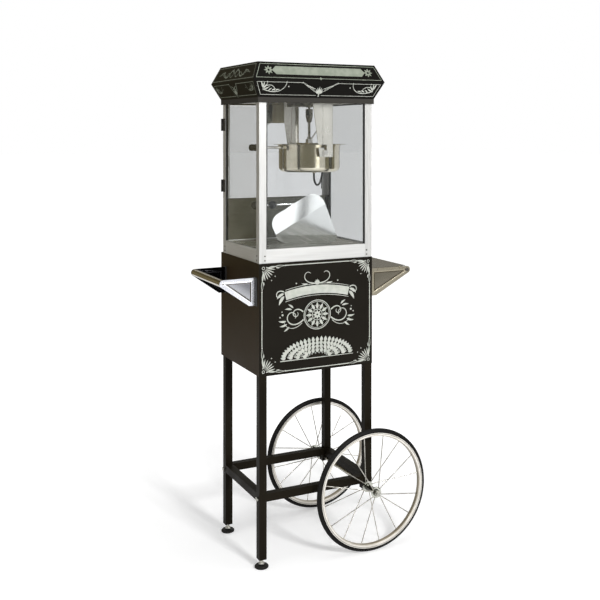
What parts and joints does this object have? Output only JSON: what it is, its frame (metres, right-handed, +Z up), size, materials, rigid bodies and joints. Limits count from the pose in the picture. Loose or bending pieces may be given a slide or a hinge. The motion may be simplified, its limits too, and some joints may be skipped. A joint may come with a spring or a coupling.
{
  "type": "popcorn maker on a wheeled cart",
  "caption": "Glass-sided popcorn maker with a tipping kettle, standing on a black cabinet cart with large spoked wheels, push handle and side shelf.",
  "frame": {"origin": "on the floor, under the middle of the whole object's footprint", "axes": "+X to the right along the front, from the push handle to the wheels; +Y to the rear doors; +Z up"},
  "size_m": [0.704, 0.51, 1.6],
  "materials": {
    "frame_paint": "satin black paint on steel tube",
    "cabinet_paint": "satin black paint on steel sheet",
    "zinc": "zinc plated",
    "stainless": "polished stainless steel sheet",
    "bright_steel": "bright plated",
    "rim_paint": "pale grey enamel",
    "tyre_rubber": "solid black rubber",
    "foot_plastic": "black plastic pad on a plated stud",
    "post_aluminium": "clear anodised extrusion",
    "clear_glass": "clear tempered glass",
    "clear_acrylic": "clear acrylic sheet",
    "gasket_rubber": "black rubber strip",
    "hood_paint": "gloss black paint on steel sheet",
    "black_plastic": "black plastic",
    "hinge_paint": "black painted steel",
    "motor_steel": "plated steel housing",
    "bulb_glass": "clear lamp glass",
    "lamp_shield": "olive heat-proof paint",
    "kettle_steel": "polished stainless steel",
    "cord_rubber": "black heat-proof rubber",
    "switch_red": "red plastic",
    "switch_black": "black plastic",
    "scoop_aluminium": "satin aluminium sheet, black ball grips"
  },
  "bodies": {
    "cart": {"legs": "frame_paint", "lower_rails": "frame_paint", "cart_fasteners": "zinc", "axle": "zinc", "cabinet_front": "cabinet_paint", "cabinet_sides": "cabinet_paint", "cabinet_bottom": "cabinet_paint", "cabinet_top": "cabinet_paint", "bracket_strips": "black_plastic", "handle_brackets": "stainless", "handle_bar": "bright_steel", "shelf_brackets": "stainless", "shelf_top": "stainless", "shelf_edge_bar": "black_plastic", "case_posts": "post_aluminium", "case_rails": "post_aluminium", "case_screws": "zinc", "glass_panes": "clear_glass", "glass_gaskets": "gasket_rubber", "deck": "stainless", "rear_panel": "stainless", "rear_hinges": "hinge_paint", "hood_shell": "hood_paint", "ceiling_plate": "stainless", "hangers": "stainless", "stir_motor": "motor_steel", "lamp_bulb": "bulb_glass", "lamp_holder": "lamp_shield", "kettle_cord": "cord_rubber", "cord_glands": "black_plastic", "switch_plate": "stainless"},
    "foot_front": {"foot_front": "foot_plastic"},
    "foot_rear": {"foot_rear": "foot_plastic"},
    "wheel_front": {"tyre_front": "tyre_rubber", "rim_front": "rim_paint", "spokes_front": "bright_steel", "hub_front": "zinc"},
    "wheel_rear": {"tyre_rear": "tyre_rubber", "rim_rear": "rim_paint", "spokes_rear": "bright_steel", "hub_rear": "zinc"},
    "cabinet_door": {"cabinet_door": "cabinet_paint"},
    "case_door_left": {"rear_door_left": "clear_acrylic", "left_door_fittings": "hinge_paint"},
    "case_door_right": {"rear_door_right": "clear_acrylic", "right_door_fittings": "hinge_paint"},
    "drawer": {"kernel_drawer": "stainless"},
    "kettle": {"kettle_shell": "kettle_steel", "kettle_bowl": "kettle_steel", "kettle_crossbar": "stainless", "kettle_handle": "bright_steel", "kettle_grip": "black_plastic"},
    "kettle_lid_left": {"lid_left": "kettle_steel"},
    "kettle_lid_right": {"lid_right": "kettle_steel"},
    "stirrer": {"stirrer": "motor_steel"},
    "motor_shaft": {"motor_coupling": "motor_steel"},
    "switch_motor": {"rocker_motor": "switch_black"},
    "switch_kettle": {"rocker_kettle": "switch_red"},
    "switch_lamp": {"rocker_lamp": "switch_black"},
    "scoop": {"scoop": "scoop_aluminium"}
  },
  "joints": [
    {"name": "foot_front_screw", "type": "slide", "parent": "cart", "child": "foot_front", "axis": [0, 0, 1], "range_m": [-0.012, 0.009]},
    {"name": "foot_rear_screw", "type": "slide", "parent": "cart", "child": "foot_rear", "axis": [0, 0, 1], "range_m": [-0.012, 0.009]},
    {"name": "wheel_front_spin", "type": "hinge", "parent": "cart", "child": "wheel_front", "pos_m": [0.152, -0.209, 0.2], "axis": [0, 1, 0], "continuous": true},
    {"name": "wheel_rear_spin", "type": "hinge", "parent": "cart", "child": "wheel_rear", "pos_m": [0.152, 0.209, 0.2], "axis": [0, 1, 0], "continuous": true},
    {"name": "cabinet_door_hinge", "type": "hinge", "parent": "cart", "child": "cabinet_door", "pos_m": [0.164, 0.1762, 0.784], "axis": [0, 0, -1], "range_deg": [0, 100]},
    {"name": "case_door_left_hinge", "type": "hinge", "parent": "cart", "child": "case_door_left", "pos_m": [-0.2325, 0.1698, 1.3], "axis": [0, 0, 1], "range_deg": [0, 110]},
    {"name": "case_door_right_hinge", "type": "hinge", "parent": "cart", "child": "case_door_right", "pos_m": [0.1765, 0.1698, 1.3], "axis": [0, 0, -1], "range_deg": [0, 110]},
    {"name": "drawer_slide", "type": "slide", "parent": "cart", "child": "drawer", "axis": [0, 1, 0], "range_m": [0, 0.15]},
    {"name": "kettle_tilt", "type": "hinge", "parent": "cart", "child": "kettle", "pos_m": [0.021, 0, 1.311], "axis": [0, -1, 0], "range_deg": [0, 90], "deforming": ["kettle_cord"]},
    {"name": "lid_left_hinge", "type": "hinge", "parent": "kettle", "child": "kettle_lid_left", "pos_m": [0.004, 0, 1.3383], "axis": [0, 1, 0], "range_deg": [0, 80]},
    {"name": "lid_right_hinge", "type": "hinge", "parent": "kettle", "child": "kettle_lid_right", "pos_m": [0.038, 0, 1.3383], "axis": [0, -1, 0], "range_deg": [0, 80]},
    {"name": "motor_spin", "type": "hinge", "parent": "cart", "child": "motor_shaft", "pos_m": [0.021, 0, 1.44], "axis": [0, 0, 1], "continuous": true},
    {"name": "stirrer_spin", "type": "hinge", "parent": "kettle", "child": "stirrer", "pos_m": [0.021, 0, 1.3], "axis": [0, 0, 1], "continuous": true},
    {"name": "switch_motor_rock", "type": "hinge", "parent": "cart", "child": "switch_motor", "pos_m": [-0.06, 0.18675, 1.5715], "axis": [-1, 0, 0], "range_deg": [0, 11]},
    {"name": "switch_kettle_rock", "type": "hinge", "parent": "cart", "child": "switch_kettle", "pos_m": [-0.028, 0.18675, 1.5715], "axis": [-1, 0, 0], "range_deg": [0, 11]},
    {"name": "switch_lamp_rock", "type": "hinge", "parent": "cart", "child": "switch_lamp", "pos_m": [0.004, 0.18675, 1.5715], "axis": [-1, 0, 0], "range_deg": [0, 11]},
    {"name": "scoop_lift", "type": "slide", "parent": "cart", "child": "scoop", "axis": [0, 0, 1], "range_m": [0, 0.015]}
  ],
  "couplings": [
    {"joint": "stirrer_spin", "follows": "motor_spin", "ratio": 1}
  ]
}
